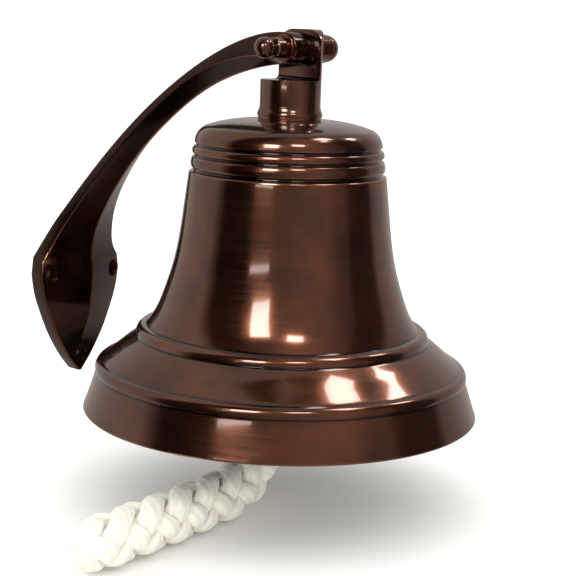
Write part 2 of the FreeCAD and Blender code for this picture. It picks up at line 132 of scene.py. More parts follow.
def evened(outline, count, softness, closed):
    """The outline again: corners softened by a short moving average, points crowded by bend."""
    p = np.asarray(outline, float)
    p = p[np.append(True, np.linalg.norm(np.diff(p, axis=0), axis=1) > 1e-7)]
    if closed and np.linalg.norm(p[0] - p[-1]) > 1e-7:
        p = np.vstack([p, p[:1]])
    along = np.concatenate([[0], np.cumsum(np.linalg.norm(np.diff(p, axis=0), axis=1))])
    step = softness / 4
    fine = np.linspace(0, along[-1], max(16, int(along[-1] / step)))
    q = np.stack([np.interp(fine, along, p[:, k]) for k in (0, 1)], 1)
    reach = 8
    weight = np.exp(-0.5 * (np.arange(-reach, reach + 1) / 3.0) ** 2)
    weight /= weight.sum()
    if closed:
        padded = np.vstack([q[-reach - 1:-1], q, q[1:reach + 1]])
    else:
        padded = np.vstack([2 * q[0] - q[reach:0:-1], q, 2 * q[-1] - q[-2:-reach - 2:-1]])
    soft = np.stack([np.convolve(padded[:, k], weight, "valid") for k in (0, 1)], 1)
    tangent = np.gradient(soft, fine, axis=0)
    heading = np.unwrap(np.arctan2(tangent[:, 1], tangent[:, 0]))
    bend = np.abs(np.gradient(heading, fine))
    density = 1 + bend * 0.5 * along[-1] / max(float(np.sum(bend) * step), 1e-9)
    spent = np.concatenate([[0], np.cumsum(0.5 * (density[1:] + density[:-1]) * np.diff(fine))])
    at = np.interp(np.linspace(0, spent[-1], count + closed), spent, fine)[:count]
    made = np.stack([np.interp(at, fine, soft[:, k]) for k in (0, 1)], 1)
    signed = np.interp(at, fine, np.gradient(heading, fine))
    return made, at, signed


# %% [markdown]
# ## From arrays to meshes
# A grid of points becomes a mesh in one call.  Each point also gets two numbers that the
# finishes read: how far along the outline it lies, for the lathe's lines, and how sharply the
# surface bends there, because convex edges are painted copper, partly rubbed wear and partly a
# painted highlight, and hollows are painted nearly black, partly the wash they keep and partly
# painted shade.

# %% Mesh helpers
def link(name, mesh, body):
    """Put a mesh into the scene as a piece that rides on a body."""
    piece = bpy.data.objects.new(name, mesh)
    bpy.context.scene.collection.objects.link(piece)
    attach(piece, body)
    return piece


def outward(mesh, smooth_below=40):
    """Point all faces outwards, and shade smooth except across sharp edges."""
    work = bmesh.new()
    work.from_mesh(mesh)
    bmesh.ops.remove_doubles(work, verts=work.verts, dist=1e-6)
    bmesh.ops.recalc_face_normals(work, faces=work.faces)
    work.to_mesh(mesh)
    work.free()
    mesh.polygons.foreach_set("use_smooth", np.ones(len(mesh.polygons), bool))
    mesh.set_sharp_from_angle(angle=math.radians(smooth_below))


def point_values(mesh, name, values):
    """Store one number for each point of a mesh."""
    mesh.attributes.new(name, "FLOAT", "POINT").data.foreach_set("value", values.astype(np.float32))


def ring_faces(rows, columns, close_rows):
    """Quads of a grid that is closed round its columns, and round its rows if asked."""
    i = np.arange(rows if close_rows else rows - 1)[:, None]
    j = np.arange(columns)[None, :]
    a = i * columns + j
    b = i * columns + (j + 1) % columns
    c = ((i + 1) % rows) * columns + (j + 1) % columns
    d = ((i + 1) % rows) * columns + j
    return np.stack([a, b, c, d], -1).reshape(-1, 4)


def turned(name, outline, centre, axis=(0, 0, 1), count=96, around=96, softness=0.25 * MM, closed=False):
    """A mesh of revolution.  A point at (radius, height) of the outline goes to
    centre + height along the axis + radius times (cos, sin) of the angle round it."""
    profile, along, bend = evened(outline, count, softness, closed)
    radius, height = profile.T
    area = np.sum(radius * np.roll(height, -1) - np.roll(radius, -1) * height)
    bend = bend * math.copysign(1, area)
    axis = Vector(axis).normalized()
    sideways = np.array(axis.orthogonal().normalized())
    upward = np.array(axis.cross(Vector(sideways)))
    angle = np.linspace(0, 2 * math.pi, around, endpoint=False)
    rings = np.cos(angle)[:, None] * sideways + np.sin(angle)[:, None] * upward
    points = (np.asarray(centre, float) + height[:, None, None] * np.array(axis)
              + radius[:, None, None] * rings[None])
    mesh = bpy.data.meshes.new(name)
    mesh.from_pydata(points.reshape(-1, 3), [], ring_faces(len(profile), around, closed).tolist())
    for label, values in (("along", along), ("bend", bend)):
        point_values(mesh, label, np.repeat(values, around))
    outward(mesh)
    print(name, len(mesh.polygons), "faces")
    return mesh


# %% [markdown]
# ## The bell
# The outline goes from the crown's seat over the shoulder with its three grooves, down the
# waist and over the two beads to the lip, and back up inside.

# %% The bell casting
def bell_outline():
    """The closed outline of the casting: radius, and height above the lip."""
    h = bell_height
    r = mouth_radius
    s = r - 67.6 * MM                # shoulder
    w = r - 64.4 * MM                # waist
    wall = 4.6 * MM
    bore = 6 * MM
    seat = 21.2 * MM

    def groove(radius, height, half=1 * MM, depth=1.2 * MM):
        return arc((radius, height + half), (radius - depth, height), (radius, height - half), 12)

    groove1 = groove(s, h - 16.8 * MM)
    groove2 = groove(s + 1.0 * MM, h - 23.4 * MM)
    groove3 = groove(s + 1.7 * MM, h - 32.3 * MM)
    upper_bead = arc((r - 39.5 * MM, 0.294 * h), (r - 34.4 * MM, 0.294 * h - 1.4 * MM),
                     (r - 33.2 * MM, 0.294 * h - 6.2 * MM), 24)
    lower_bead = arc((r - 12 * MM, 0.171 * h), (r - 8.1 * MM, 0.171 * h - 2.4 * MM),
                     (r - 8 * MM, 0.171 * h - 7 * MM), 24)
    lip_inner = r - 9.7 * MM
    top_inner = s - 19 * MM - wall
    crown_under = h - wall - 1.4 * MM
    outer = [[(bore, h), (seat, h)],
             arc((seat, h), (s - 20.5 * MM, h - 1.6 * MM), (s - 6.4 * MM, h - 5.4 * MM)),
             arc((s - 6.4 * MM, h - 5.4 * MM), (s - 1.9 * MM, h - 9.5 * MM), groove1[0]),
             groove1,
             arc(groove1[-1], (s + 1.3 * MM, h - 20 * MM), groove2[0]),
             groove2,
             arc(groove2[-1], (s + 2.2 * MM, h - 27.8 * MM), groove3[0]),
             groove3,
             smooth_curve([(w, h - 34.2 * MM), (w + 2.4 * MM, h - 53.6 * MM), (w + 8.4 * MM, 0.509 * h),
                           (r - 50.2 * MM, 0.407 * h), (r - 44.3 * MM, 0.332 * h), upper_bead[0]], 60),
             upper_bead,
             smooth_curve([upper_bead[-1], (r - 26.8 * MM, 0.236 * h), (r - 19.4 * MM, 0.203 * h),
                           lower_bead[0]], 30),
             lower_bead,
             arc(lower_bead[-1], (r - 4.4 * MM, 0.072 * h), (r, 1.2 * MM)),
             [(r - 1.2 * MM, 0)]]
    inner = [smooth_curve([(lip_inner, 0), (r - 14.4 * MM - wall, 0.136 * h), (r - 29 * MM - wall, 0.206 * h),
                           (r - 39.5 * MM - wall, 0.266 * h), (r - 51.5 * MM - wall, 0.385 * h),
                           (w + 7.2 * MM - wall, 0.509 * h), (w + 2.2 * MM - wall, h - 53.6 * MM),
                           (s - 0.6 * MM - wall, h - 26 * MM)], 80),
             arc((s - 0.6 * MM - wall, h - 26 * MM), (s - 7 * MM - wall, h - 12.5 * MM),
                 (top_inner, crown_under)),
             [(bore, crown_under)]]
    return np.vstack([np.asarray(run) for run in outer + inner])


bell_mesh = turned("bell_casting", bell_outline(), bell_axis + [0, 0, lip_z], count=260, around=256,
                   softness=0.35 * MM, closed=True)
bell = link("bell_casting", bell_mesh, "bell")
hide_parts("bell_shell")

# %% [markdown]
# ## The clapper, the pin and the turned fittings
# These are lathe work too, each with its own short outline.  The ball-ended pin goes through
# the arm's boss and the post's ear, and a domed nut closes it.

# %% Turned fittings
pin_radius = 5 * MM
tail_radius = 6 * MM               # the post's threaded tail, under the crown


def node_box(node):
    """A node's lowest and highest corners, as arrays."""
    low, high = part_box(node)
    return np.array(low), np.array(high)


def turned_ring(node, body, axis):
    """A washer: the node's own box gives its outer size and place, and the hole is its bolt's."""
    low, high = node_box(node)
    axis = np.array(axis, float)
    size = high - low
    thickness = float(size @ axis)
    outer = 0.5 * float(max(size * (1 - axis)))
    hole = pin_radius if axis[1] else tail_radius
    centre = 0.5 * (low + high) - 0.5 * thickness * axis
    outline = [(hole, 0), (outer, 0), (outer, thickness), (hole, thickness), (hole, 0)]
    mesh = turned(node + "_turned", outline, centre, axis, count=40, around=64,
                  softness=0.3 * MM, closed=True)
    piece = link(node + "_turned", mesh, body)
    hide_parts(node)


for node, body, axis in (("pin_head_washer", "bracket", (0, 1, 0)), ("pin_nut_washer", "bracket", (0, 1, 0)),
                         ("stem_seat_washer", "bell", (0, 0, 1)), ("crown_washer", "bell", (0, 0, 1))):
    turned_ring(node, body, axis)

pin_low, pin_high = node_box("hanger_pin")
head_low = node_box("pin_head_washer")[0]
ball_radius = 6.5 * MM
collar_radius = 6.4 * MM
collar_start = head_low[1] - 9.5 * MM - pin_low[1]
collar_end = head_low[1] - pin_low[1]
pin_length = pin_high[1] - pin_low[1]
neck_radius = 4.2 * MM
ball_end = ball_radius + math.sqrt(ball_radius**2 - neck_radius**2)
pin_outline = np.vstack([arc((0, 0), (ball_radius, ball_radius), (neck_radius, ball_end), 40),
                         [(neck_radius, collar_start), (collar_radius - 0.8 * MM, collar_start),
                          (collar_radius, collar_start + 0.8 * MM), (collar_radius, collar_end - 0.8 * MM),
                          (collar_radius - 0.8 * MM, collar_end), (pin_radius, collar_end),
                          (pin_radius, pin_length), (0, pin_length)]])
pin_mesh = turned("ball_ended_pin", pin_outline, (pin_place[0], pin_low[1], pin_place[2]), (0, 1, 0),
                  count=110, around=64, softness=0.2 * MM)
pin = link("ball_ended_pin", pin_mesh, "bracket")
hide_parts("hanger_pin")

nut_low, nut_high = node_box("pin_acorn_nut")
nut_radius = 0.5 * (nut_high[0] - nut_low[0])
nut_length = nut_high[1] - nut_low[1]
barrel = nut_length - nut_radius
nut_outline = np.vstack([[(0, 0.2 * MM), (pin_radius, 0.2 * MM), (pin_radius + 0.6 * MM, 0),
                          (nut_radius - 1 * MM, 0), (nut_radius, 1 * MM), (nut_radius, barrel - 1.4 * MM),
                          (nut_radius - 0.7 * MM, barrel - 0.7 * MM), (nut_radius - 0.7 * MM, barrel)],
                         arc((nut_radius - 0.5 * MM, barrel),
                             (0.7 * nut_radius, barrel + 0.69 * nut_radius), (0, nut_length), 30)])
nut_mesh = turned("domed_nut", nut_outline, (pin_place[0], nut_low[1], pin_place[2]), (0, 1, 0),
                  count=90, around=64, softness=0.25 * MM)
nut = link("domed_nut", nut_mesh, "bracket")
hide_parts("pin_acorn_nut")

ball_low, ball_high = node_box("clapper_ball")
ball_middle = 0.5 * (ball_low + ball_high)
clapper_radius = 0.5 * (ball_high[0] - ball_low[0])
rod_radius = 3.8 * MM
reach_up = math.sqrt(clapper_radius**2 - rod_radius**2)
ball_outline = np.vstack([[(rod_radius, reach_up), (rod_radius, -reach_up)],
                          arc((rod_radius, -reach_up), (clapper_radius, 0), (rod_radius, reach_up), 80)])
ball_mesh = turned("clapper_ball_turned", ball_outline, ball_middle, count=90, around=96,
                   softness=0.3 * MM, closed=True)
ball = link("clapper_ball_turned", ball_mesh, "clapper")
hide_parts("clapper_ball")


# %% [markdown]
# ## Pieces with flats, slots and bores
# The post, the fork, the nuts and the eyes are cut as well as turned.  Each starts as a copy
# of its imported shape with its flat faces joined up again, and then every sharp edge gets a
# small round, because a sharp edge never stays sharp on a handled casting.

# %% Rounded copies of cut pieces
def rounded_copy(node, body, width, sharp=30):
    """A copy of a node: flats merged, edges over the sharp angle rounded and marked to be painted copper,
    partly rubbed wear and partly painted highlight.
    """
    mesh = frame["nodes"][node].data.copy()
    mesh.name = node + "_rounded"
    work = bmesh.new()
    work.from_mesh(mesh)
    bmesh.ops.remove_doubles(work, verts=work.verts, dist=1e-6)
    bmesh.ops.dissolve_limit(work, angle_limit=math.radians(0.5), verts=work.verts, edges=work.edges)
    rubbed = work.faces.layers.float.new("rubbed")
    edges = [e for e in work.edges if len(e.link_faces) == 2
             and e.calc_face_angle(0) > math.radians(sharp)]
    made = bmesh.ops.bevel(work, geom=edges, offset=width, offset_type="OFFSET", segments=3,
                           profile=0.5, affect="EDGES", clamp_overlap=True)
    # bevel faces are marked to be painted copper: partly rubbed wear, partly painted highlight
    for face in made["faces"]:
        face[rubbed] = 1.0
    bmesh.ops.triangulate(work, faces=[f for f in work.faces if len(f.verts) > 4])
    work.to_mesh(mesh)
    work.free()
    mesh.materials.clear()
    mesh.polygons.foreach_set("use_smooth", np.ones(len(mesh.polygons), bool))
    mesh.set_sharp_from_angle(angle=math.radians(28))
    piece = link(node + "_rounded", mesh, body)
    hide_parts(node)
    print(node, len(edges), "edges rounded,", len(mesh.polygons), "faces")


rounded_copy("hanger_stem", "bell", 1.1 * MM)
for node, body in (("crown_nut", "bell"), ("clevis_lock_nut", "bell"), ("clapper_clevis", "bell"),
                   ("clapper_pin", "bell"), ("clapper_pin_clip", "bell"), ("clapper_rod", "clapper"),
                   ("clapper_eye", "clapper")):
    rounded_copy(node, body, 0.35 * MM)


# %% [markdown]
# ## The wall bracket
# One casting: a leaf-shaped plate that narrows into an arm, with a keel down the middle of its
# front and a boss for the pin.  It is a loft: a five-cornered section is carried up the plate,
# along the arm's curve and round the boss, and each corner is a conic arc, so that all the
# edges come out evenly buffed.  The holes are cut last.

# %% Sections of the bracket
def rounded_corners(corners, radii, count=7):
    """Replace each corner of many polygons by an arc, as a rational curve from one side to the
    next: start and end lie a cut's length from the corner, and the corner's weight is the sine
    of half its angle.  Also gives a number that is 1 in the middle of each arc."""
    before, after = np.roll(corners, 1, 1) - corners, np.roll(corners, -1, 1) - corners
    side_a, side_b = (np.linalg.norm(v, axis=2, keepdims=True) for v in (before, after))
    before, after = before / side_a, after / side_b
    half = 0.5 * np.arccos(np.clip((before * after).sum(2, keepdims=True), -1, 1))
    cut = np.minimum(np.asarray(radii)[None, :, None] / np.tan(half), 0.42 * np.minimum(side_a, side_b))
    start, end, weight = corners + before * cut, corners + after * cut, np.sin(half)
    t = np.linspace(0, 1, count)[None, None, :, None]
    parts = (1 - t) ** 2, 2 * t * (1 - t) * weight[:, :, None], t**2
    total = parts[0] + parts[1] + parts[2]
    points = (parts[0] * start[:, :, None] + parts[1] * corners[:, :, None]
              + parts[2] * end[:, :, None]) / total
    rubbed = np.broadcast_to(np.sin(math.pi * t), points.shape[:3] + (1,))
    return points.reshape(len(corners), -1, corners.shape[2]), rubbed.reshape(len(corners), -1)


def smooth_rows(rows, at):
    """Rows of numbers, the first of which is the place along, read off a smooth curve at at."""
    rows = np.asarray(rows, float)
    fine = smooth_curve(rows / np.ptp(rows, axis=0), 400) * np.ptp(rows, axis=0)
    return np.stack([np.interp(at, fine[:, 0], fine[:, k]) for k in range(1, rows.shape[1])], 1)


plate_half_width = 36.6 * MM
plate_edge = 12 * MM
plate_drop = -node_box("wall_bracket")[0][2]
keel = 14 * MM
arm_half_width = 7.1 * MM
boss_radius = 9.8 * MM
pin_z = pin_place[2]
wall_reach = pin_place[0]

plate_rows = [(-1.00, 0.05, 0.03), (-0.96, 0.12, 0.03), (-0.85, 0.30, 0.03), (-0.72, 0.47, 0.10),
              (-0.54, 0.665, 0.46), (-0.35, 0.825, 0.75), (-0.17, 0.945, 0.91), (0.00, 1.00, 1.00)]
height = np.linspace(-1, 0, 60)
share = smooth_rows(plate_rows, height)
plate_place = np.stack([0 * height, height * plate_drop], 1)
plate_inward = np.tile([1.0, 0.0], (len(height), 1))
plate_size = np.stack([share[:, 0] * plate_half_width, plate_edge + 0 * height,
                       plate_edge + share[:, 1] * keel], 1)

arm_rows = [(0.00, 0.96 * plate_half_width, plate_edge, plate_edge + 0.96 * keel),
            (0.07, 0.80 * plate_half_width, 0.90 * plate_edge, plate_edge + 0.76 * keel),
            (0.15, 0.655 * plate_half_width, 9.6 * MM, 19.0 * MM),
            (0.30, 15.8 * MM, 7.6 * MM, 15.6 * MM),
            (0.45, 12.0 * MM, 6.3 * MM, 14.2 * MM),
            (0.60, 9.8 * MM, 5.4 * MM, 15.2 * MM),
            (0.75, 8.2 * MM, 7.0 * MM, 18.8 * MM),
            (0.88, arm_half_width + 0.2 * MM, 12.5 * MM, 21.5 * MM),
            (1.00, arm_half_width, 18.6 * MM, 2 * boss_radius)]
t = np.linspace(0, 1, 110)[:, None]
back = np.array([(0, 12 * MM), (8 * MM, 64 * MM), (wall_reach - 77 * MM, pin_z + boss_radius + 4.2 * MM),
                 (wall_reach, pin_z + boss_radius)])
arm_place = (back[0] * (1 - t) ** 3 + back[1] * 3 * t * (1 - t) ** 2 + back[2] * 3 * t**2 * (1 - t)
             + back[3] * t**3)
along_arm = ((back[1] - back[0]) * (1 - t) ** 2 + (back[2] - back[1]) * 2 * t * (1 - t)
             + (back[3] - back[2]) * t**2)
along_arm /= np.linalg.norm(along_arm, axis=1, keepdims=True)
arm_inward = np.stack([along_arm[:, 1], -along_arm[:, 0]], 1)
arm_size = smooth_rows(arm_rows, t[:, 0])

swing = np.radians(np.linspace(6, 84, 16))
end_place = np.stack([wall_reach + boss_radius * np.sin(swing), pin_z + boss_radius * np.cos(swing)], 1)
end_inward = np.tile([0.0, -1.0], (len(swing), 1))
end_depth = 2 * boss_radius * np.cos(swing)
end_size = np.stack([0 * swing + arm_half_width, end_depth - 0.2 * MM * np.cos(swing), end_depth], 1)

place = np.vstack([plate_place, arm_place, end_place])
inward = np.vstack([plate_inward, arm_inward, end_inward])
half, edge, ridge = np.vstack([plate_size, arm_size, end_size]).T
flat = np.stack([np.stack([-half, 0 * half], 1), np.stack([half, 0 * half], 1), np.stack([half, edge], 1),
                 np.stack([0 * half, ridge], 1), np.stack([-half, edge], 1)], 1)
outline, rubbed = rounded_corners(flat, [1.0 * MM, 1.0 * MM, 1.6 * MM, 3.0 * MM, 1.6 * MM])
bracket_points = np.stack([place[:, None, 0] + inward[:, None, 0] * outline[:, :, 1],
                           outline[:, :, 0],
                           place[:, None, 1] + inward[:, None, 1] * outline[:, :, 1]], -1)


# %% The bracket's mesh, and its holes
def capped_grid(name, points):
    """A grid closed round its columns, with a flat face at each end."""
    rows, columns = points.shape[:2]
    faces = ring_faces(rows, columns, False).tolist()
    faces += [list(range(columns)), list(range((rows - 1) * columns, rows * columns))]
    mesh = bpy.data.meshes.new(name)
    mesh.from_pydata(points.reshape(-1, 3), [], faces)
    return mesh


def cylinder_cutter(radius, start, end, around=48):
    """A closed cylinder between two points, to cut with."""
    start, end = Vector(start), Vector(end)
    work = bmesh.new()
    turn = (end - start).to_track_quat("Z", "Y").to_matrix().to_4x4()
    bmesh.ops.create_cone(work, cap_ends=True, segments=around, radius1=radius, radius2=radius,
                          depth=(end - start).length, matrix=Matrix.Translation(0.5 * (start + end)) @ turn)
    return work


def cut_away(mesh, cutters):
    """The mesh less every cutter, by exact Booleans one after another."""
    body = bpy.data.objects.new("to_cut", mesh)
    bpy.context.scene.collection.objects.link(body)
    tools = []
    for work in cutters:
        tool_mesh = bpy.data.meshes.new("tool")
        work.to_mesh(tool_mesh)
        work.free()
        tool = bpy.data.objects.new("tool", tool_mesh)
        bpy.context.scene.collection.objects.link(tool)
        cut = body.modifiers.new("cut", "BOOLEAN")
        cut.operation, cut.solver, cut.object = "DIFFERENCE", "EXACT", tool
        tools.append(tool)
    evaluated = body.evaluated_get(bpy.context.evaluated_depsgraph_get())
    made = bpy.data.meshes.new_from_object(evaluated, depsgraph=bpy.context.evaluated_depsgraph_get())
    for tool in tools + [body]:
        bpy.data.objects.remove(tool)
    return made


bracket_mesh = capped_grid("bracket_casting", bracket_points)
# the middles of the rounded corners are painted copper: partly rubbed wear, partly painted highlight
point_values(bracket_mesh, "rubbed", rubbed.ravel())
travelled = np.concatenate([[0], np.cumsum(np.linalg.norm(np.diff(place, axis=0), axis=1))])
point_values(bracket_mesh, "along", np.repeat(travelled, bracket_points.shape[1]))
outward(bracket_mesh)
hole_radius = 3.2 * MM
holes = [(-28.2 * MM, 0), (28.2 * MM, 0), (0, -62 * MM)]
cutters = [cylinder_cutter(pin_radius, (wall_reach, -20 * MM, pin_z), (wall_reach, 20 * MM, pin_z))]
for y, z in holes:
    cutters.append(cylinder_cutter(hole_radius, (-10 * MM, y, z), (50 * MM, y, z)))
    cutters.append(cylinder_cutter(6.3 * MM, (plate_edge - 0.5 * MM, y, z), (40 * MM, y, z)))
bracket_mesh = cut_away(bracket_mesh, cutters)
bracket_mesh.polygons.foreach_set("use_smooth", np.ones(len(bracket_mesh.polygons), bool))
bracket_mesh.set_sharp_from_angle(angle=math.radians(35))
bracket = link("bracket_casting", bracket_mesh, "bracket")
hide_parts("wall_bracket")
print("bracket", len(bracket_mesh.polygons), "faces")

# %% [markdown]
# ## The rope pull
# Eight soft cotton strands are plaited round: four wind one way and four the other, and each
# goes over and under the others by one rule round the rope: long floats lie on its upper side
# and shorter ones down its front.  The plait is about five diameters long, and its pieces are
# plain pieces on the rope's body.

# %% The rope's line
route = rope_eye + MM * np.array([(2.45, -16.89, -19.61), (4.5, -31, -36), (10, -52, -43.3),
                                  (14.2, -83, -43), (17.5, -114, -43.2), (21, -146, -42.8),
                                  (23.3, -176, -43)])
line_curve = bpy.data.curves.new("rope_line", "CURVE")
line_curve.dimensions = "3D"
line_curve.resolution_u = 24
line_spline = line_curve.splines.new("NURBS")
line_spline.points.add(len(route) - 1)
line_spline.points.foreach_set("co", np.hstack([route, np.ones((len(route), 1))]).ravel())
line_spline.order_u = 3
line_spline.use_endpoint_u = True
line_object = bpy.data.objects.new("rope_line", line_curve)
line_mesh = bpy.data.meshes.new_from_object(line_object)
rope_line = np.array([v.co for v in line_mesh.vertices])
bpy.data.objects.remove(line_object)
rope_length = float(np.linalg.norm(np.diff(rope_line, axis=0), axis=1).sum())
print("the rope's line is", round(rope_length, 4), "m long")


# %% Strands
def spaced_line(line, step):
    """Points a step apart along a line, and their distance along it."""
    along = np.concatenate([[0], np.cumsum(np.linalg.norm(np.diff(line, axis=0), axis=1))])
    at = np.linspace(0, along[-1], int(along[-1] / step) + 1)
    return np.stack([np.interp(at, along, line[:, k]) for k in range(3)], 1), at


def unit(v):
    return v / np.linalg.norm(v, axis=-1, keepdims=True)


def strand(centre, out, thick, wide, yarns, twist, around):
    """One soft strand.  Its section is an ellipse, thick along out and wide across it, times a
    ripple of cos(yarns x angle) that turns with the distance along, as laid yarns do."""
    tangent = unit(np.gradient(centre, axis=0))
    out = unit(out - tangent * (out * tangent).sum(1, keepdims=True))
    across = np.cross(tangent, out)
    along = np.concatenate([[0], np.cumsum(np.linalg.norm(np.diff(centre, axis=0), axis=1))])
    angle = np.linspace(0, 2 * math.pi, around, endpoint=False)[None]
    wave = np.cos(yarns * (angle + 2 * math.pi * along[:, None] / twist))
    swelling = 1 + 0.022 * wave
    points = (centre[:, None] + out[:, None] * (thick[:, None] * np.cos(angle) * swelling)[:, :, None]
              + across[:, None] * (wide[:, None] * np.sin(angle) * swelling)[:, :, None])
    groove = np.clip(0.5 - 0.5 * wave, 0, 1) ** 2
    fibre = np.stack([np.broadcast_to(along[:, None], wave.shape),
                      (angle + 2 * math.pi * along[:, None] / twist) / (2 * math.pi) * 0.03], -1)
    return points, groove, fibre


def strands_mesh(name, parts):
    """One mesh from many strands, each closed at its ends.  "groove" is 1 between two yarns,
    and "fibre" holds metres along the strand and metres round it."""
    points, faces, grooves, fibres, first = [], [], [], [], 0
    for grid, groove, fibre in parts:
        rows, columns = grid.shape[:2]
        points += [grid.reshape(-1, 3), grid[[0, -1]].mean(1)]
        grooves += [groove.ravel(), np.zeros(2)]
        fibres += [fibre.reshape(-1, 2), fibre[[0, -1], 0]]
        faces += (ring_faces(rows, columns, False) + first).tolist()
        start, last = first + rows * columns, first + (rows - 1) * columns
        j = np.arange(columns)
        k = (j + 1) % columns
        faces += np.stack([np.full(columns, start), first + k, first + j], 1).tolist()
        faces += np.stack([np.full(columns, start + 1), last + j, last + k], 1).tolist()
        first = start + 2
    mesh = bpy.data.meshes.new(name)
    mesh.from_pydata(np.vstack(points), [], faces)
    point_values(mesh, "groove", np.concatenate(grooves))
    fibre = np.vstack(fibres)
    stored = mesh.attributes.new("fibre", "FLOAT_VECTOR", "POINT")
    stored.data.foreach_set("vector", np.hstack([fibre, 0 * fibre[:, :1]]).astype(np.float32).ravel())
    outward(mesh, 60)
    print(name, len(faces), "faces")
    return mesh


def outermost(angle):
    """1 where the strands that wind to the right lie on top, and -1 where they pass beneath:
    a raised cosine between the signs of the eight places round the rope where strands cross."""
    signs = np.array([-1, -1, 1, 1, -1, 1, -1, 1.0])
    place = (angle - math.pi / 8) / (math.pi / 4)
    low = np.floor(place).astype(int)
    share = 0.5 - 0.5 * np.cos(math.pi * (place - low))
    return signs[low % 8] * (1 - share) + signs[(low + 1) % 8] * share


# %% The plait and its rounded end
braid_radius = 16.5 * MM
plait_pitch = 100 * MM             # one strand's way once round
strand_thick = 4.4 * MM
strand_wide = 6.8 * MM
swell = 3.3 * MM                   # how far a strand rises and dips as it crosses the others
strand_orbit = braid_radius - strand_thick - swell
tip_length = 11.5 * MM
round_end = 20 * MM
front = math.radians(-65)          # a row of crossings faces the front, round from the top

braid_end = rope_line[-1] + unit(rope_line[-1] - rope_line[-2]) * tip_length
braid_line, braid_at = spaced_line(np.vstack([rope_line, braid_end]), 1.0 * MM)
tangent = unit(np.gradient(braid_line, axis=0))
upward = unit(np.array([0, 0, 1.0]) - tangent * tangent[:, 2:3])
sideways = np.cross(tangent, upward)
into_end = np.clip((braid_at - (braid_at[-1] - round_end)) / (round_end + 1 * MM), 0, 1)
closing = np.sqrt(1 - into_end**2)
plait_rows = braid_at <= rope_length
parts, end_parts = [], []
for way in (1, -1):
    for k in range(4):
        theta = way * 2 * math.pi * braid_at / plait_pitch + k * math.pi / 2
        theta += math.pi / 4 if way < 0 else 0
        orbit = (strand_orbit + swell * way * outermost(theta)) * closing
        round_rope = theta + front
        out = np.cos(round_rope)[:, None] * upward + np.sin(round_rope)[:, None] * sideways
        squeeze = 0.5 + 0.5 * closing
        fullness = 1 + 0.04 * np.sin(braid_at / (7 * MM) + 1.7 * k + way)
        made = strand(braid_line + out * orbit[:, None], out, strand_thick * squeeze * fullness,
                      strand_wide * squeeze * fullness, yarns=6, twist=-way * 75 * MM, around=42)
        parts.append([values[plait_rows] for values in made])
        first = np.argmax(~plait_rows) - 1
        end_parts.append([values[first:] for values in made])
plait = link("rope_plait", strands_mesh("rope_plait", parts), "lanyard")
rope_end = link("rope_plait_end", strands_mesh("rope_plait_end", end_parts), "lanyard")
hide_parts("lanyard_braid")
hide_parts("lanyard_end_knot")

# %% [markdown]
# ## The rope's neck
# Above the plait a collar of wound twine holds the two legs of a small laid cord, which goes
# through the eye under the clapper.

# %% Loop and wound collar
drop = unit(np.array([4.5, -31, -36.0]))
leg_side = unit(np.array([1.0, 0, 0]) - drop * drop[0])
loop_half_width, loop_bend, slack, loop_foot = 10 * MM, 6.2 * MM, 0.9 * MM, 19 * MM
quarter = np.linspace(0, math.pi / 2, 14)[:, None]
corner = np.hstack([-loop_half_width + loop_bend * (1 - np.cos(quarter)), loop_bend * (1 - np.sin(quarter))])
half_loop = np.vstack([[-loop_half_width, loop_foot + 1 * MM - slack], corner])
loop_flat = np.vstack([half_loop, half_loop[::-1] * (-1, 1)])
loop_path = rope_eye + drop * slack + loop_flat[:, :1] * leg_side + loop_flat[:, 1:] * drop
loop_line, loop_at = spaced_line(loop_path, 0.5 * MM)
normal = np.cross(drop, leg_side)
tangent = unit(np.gradient(loop_line, axis=0))
inward = np.cross(tangent, normal)
ply_radius, ply_lay = 1.75 * MM, 14 * MM
parts = []
for k in range(3):
    angle = 2 * math.pi * (loop_at / ply_lay + k / 3)
    out = np.cos(angle)[:, None] * normal + np.sin(angle)[:, None] * inward
    size = np.full(len(loop_line), ply_radius)
    parts.append(strand(loop_line + out * ply_radius, out, size, size * 1.1, yarns=5, twist=9 * MM,
                        around=20))
loop = link("rope_loop", strands_mesh("rope_loop", parts), "lanyard")
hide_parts("lanyard_loop")

collar_start, collar_end, collar_radius, twine = 19 * MM, 26 * MM, 15 * MM, 1.15 * MM
turns = (collar_end - collar_start - 2 * twine) / (2 * twine)
angle = np.linspace(0, 2 * math.pi * turns, int(turns * 90))
across_drop = np.cross(drop, leg_side)
around_drop = np.cos(angle)[:, None] * leg_side + np.sin(angle)[:, None] * across_drop
depth = collar_start + twine + (collar_end - collar_start - 2 * twine) * angle / angle[-1]
wound_line = rope_eye + depth[:, None] * drop + (collar_radius - twine) * around_drop
size = np.full(len(angle), twine)
wound = strand(wound_line, around_drop, size, size * 1.05, yarns=4, twist=5 * MM, around=16)
core_radius = collar_radius - 1.4 * twine
collar_length = collar_end - collar_start
core = [(0.01 * MM, 0), (core_radius, 0), (core_radius, collar_length), (0.01 * MM, collar_length)]
core_mesh = turned("collar_core", core, rope_eye + drop * collar_start, drop, count=24, around=64)
work = bmesh.new()
work.from_mesh(strands_mesh("rope_collar", [wound]))
work.from_mesh(core_mesh)
collar_mesh = bpy.data.meshes.new("rope_collar")
work.to_mesh(collar_mesh)
work.free()
collar = link("rope_collar", collar_mesh, "lanyard")
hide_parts("lanyard_whipping")

# %% [markdown]
# ## Finishes
# All the metal is bronze, browned with a chemical wash and then lacquered.  A lathe tool leaves
# fine rings on the turned pieces.  Every raised edge is painted copper: partly where buffing
# wears the brown off, partly a painted highlight.  Hollows are painted nearly black: partly the
# wash they keep, partly painted shade.  The outline's own bend tells where.

# %% Material helpers
def linear(hex_colour):
    """An sRGB hex colour as linear red, green, blue and alpha."""
    s = np.array([int(hex_colour[i:i + 2], 16) / 255 for i in (1, 3, 5)])
    return tuple(float(v) for v in np.where(s <= 0.04045, s / 12.92, ((s + 0.055) / 1.055) ** 2.4)) + (1.0,)


